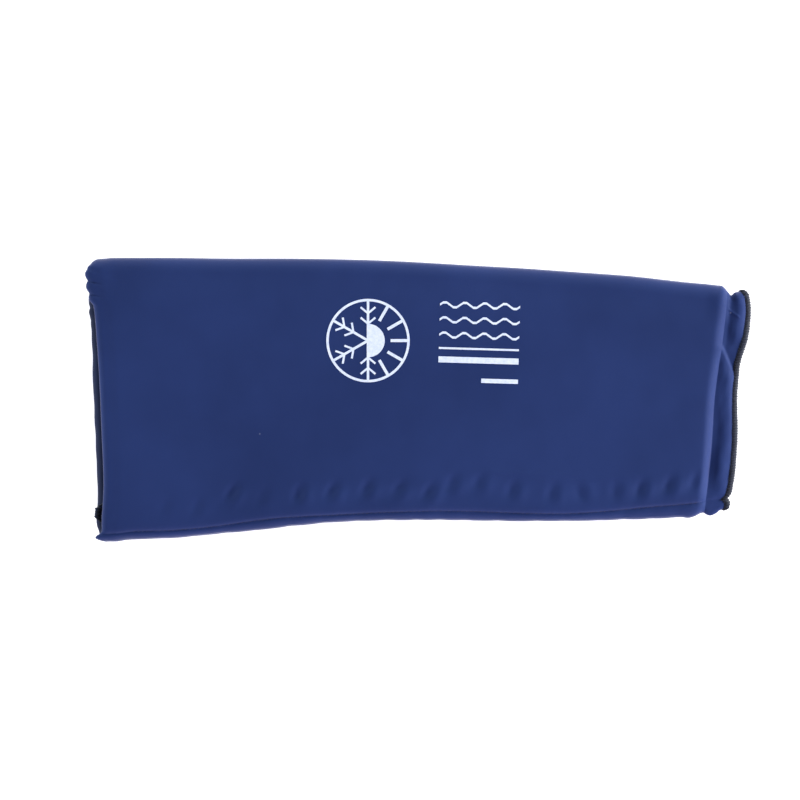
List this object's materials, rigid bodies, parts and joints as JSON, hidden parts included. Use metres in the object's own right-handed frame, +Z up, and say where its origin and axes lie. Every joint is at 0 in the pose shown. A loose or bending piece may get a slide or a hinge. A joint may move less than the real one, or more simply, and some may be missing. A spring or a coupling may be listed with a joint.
{
  "type": "gel compression sleeve",
  "caption": "Tapered tube of stretch fabric with gel-filled walls, closed by one long seam with thread-wrapped hems, for cooling or warming a limb. It lies flat and opens to take the limb.",
  "frame": {"origin": "centre of the sleeve's footprint, on the surface it lies on", "axes": "+X along the sleeve from the wide end to the narrow end, +Y towards the folded edge, +Z up through the front wall"},
  "size_m": [0.4001, 0.169, 0.0193],
  "materials": {
    "cover_fabric": "matte knitted stretch fabric",
    "lining_fabric": "matte smooth knit",
    "film": "thin clear sealing film",
    "gel": "soft translucent gel",
    "thread": "textured overlock thread",
    "seam_thread": "twisted sewing thread",
    "print": "matte heat-transfer print"
  },
  "bodies": {
    "back_wall": {"back_cover": "cover_fabric", "back_outer_film": "film", "back_gel": "gel", "back_inner_film": "film", "back_lining": "lining_fabric", "back_wide_hem_thread": "thread", "back_narrow_hem_thread": "thread", "seam_allowance": "lining_fabric", "seam_allowance_thread": "thread"},
    "front_wall": {"front_cover": "cover_fabric", "front_outer_film": "film", "front_gel": "gel", "front_inner_film": "film", "front_lining": "lining_fabric", "front_wide_hem_thread": "thread", "front_narrow_hem_thread": "thread", "long_seam_thread": "seam_thread", "printed_mark": "print", "printed_lines": "print"}
  },
  "joints": [
    {"name": "front_wall_lift", "type": "slide", "parent": "back_wall", "child": "front_wall", "axis": [0, 0, 1], "range_m": [0, 0.03]}
  ]
}
